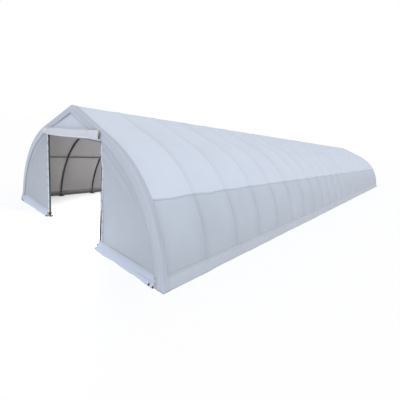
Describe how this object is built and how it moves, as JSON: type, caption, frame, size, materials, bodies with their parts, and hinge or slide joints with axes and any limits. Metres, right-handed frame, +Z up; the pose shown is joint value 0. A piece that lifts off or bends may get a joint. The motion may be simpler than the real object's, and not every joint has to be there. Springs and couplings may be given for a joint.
{
  "type": "fabric storage shelter",
  "caption": "Long peaked-arch storage shelter: bent steel hoops under a pale woven cover, open doorway in the front end wall with its curtain rolled up.",
  "frame": {"origin": "on the ground, at the middle of the plan", "axes": "+Z up; +Y along the ridge from the front end, with the doorway, to the rear end; +X to the right as seen from in front"},
  "size_m": [9.129, 34.386, 3.9911],
  "materials": {
    "frame_steel": "satin dark coat on steel tube",
    "roof_fabric": "coated woven sheet, pale bluish white, slight sheen",
    "wall_fabric": "coated woven sheet, pale bluish white, slight sheen",
    "end_fabric": "coated woven sheet, pale bluish white, slight sheen",
    "hem_fabric": "coated woven sheet, pale bluish white, slight sheen",
    "door_fabric": "coated woven sheet, pale bluish white, slight sheen"
  },
  "bodies": {
    "root": {"hoop_01": "frame_steel", "hoop_02": "frame_steel", "hoop_03": "frame_steel", "hoop_04": "frame_steel", "hoop_05": "frame_steel", "hoop_06": "frame_steel", "hoop_07": "frame_steel", "hoop_08": "frame_steel", "hoop_09": "frame_steel", "hoop_10": "frame_steel", "hoop_11": "frame_steel", "hoop_12": "frame_steel", "hoop_13": "frame_steel", "hoop_14": "frame_steel", "hoop_15": "frame_steel", "hoop_16": "frame_steel", "hoop_17": "frame_steel", "hoop_18": "frame_steel", "hoop_19": "frame_steel", "hoop_20": "frame_steel", "hoop_21": "frame_steel", "hoop_22": "frame_steel", "hoop_23": "frame_steel", "ridge_purlin": "frame_steel", "left_side_purlin": "frame_steel", "right_side_purlin": "frame_steel", "left_base_rail": "frame_steel", "right_base_rail": "frame_steel", "front_left_post": "frame_steel", "front_right_post": "frame_steel", "front_header": "frame_steel", "rear_posts": "frame_steel", "rear_header": "frame_steel", "left_roof_cover": "roof_fabric", "right_roof_cover": "roof_fabric", "left_wall_cover": "wall_fabric", "right_wall_cover": "wall_fabric", "front_border": "wall_fabric", "rear_border": "wall_fabric", "front_gable_panel": "end_fabric", "front_left_panel": "end_fabric", "front_right_panel": "end_fabric", "rear_wall": "end_fabric", "left_skirt": "hem_fabric", "right_skirt": "hem_fabric", "front_left_flap": "hem_fabric", "front_right_flap": "hem_fabric", "rear_flap": "hem_fabric", "rolled_door": "door_fabric"}
  },
  "joints": []
}
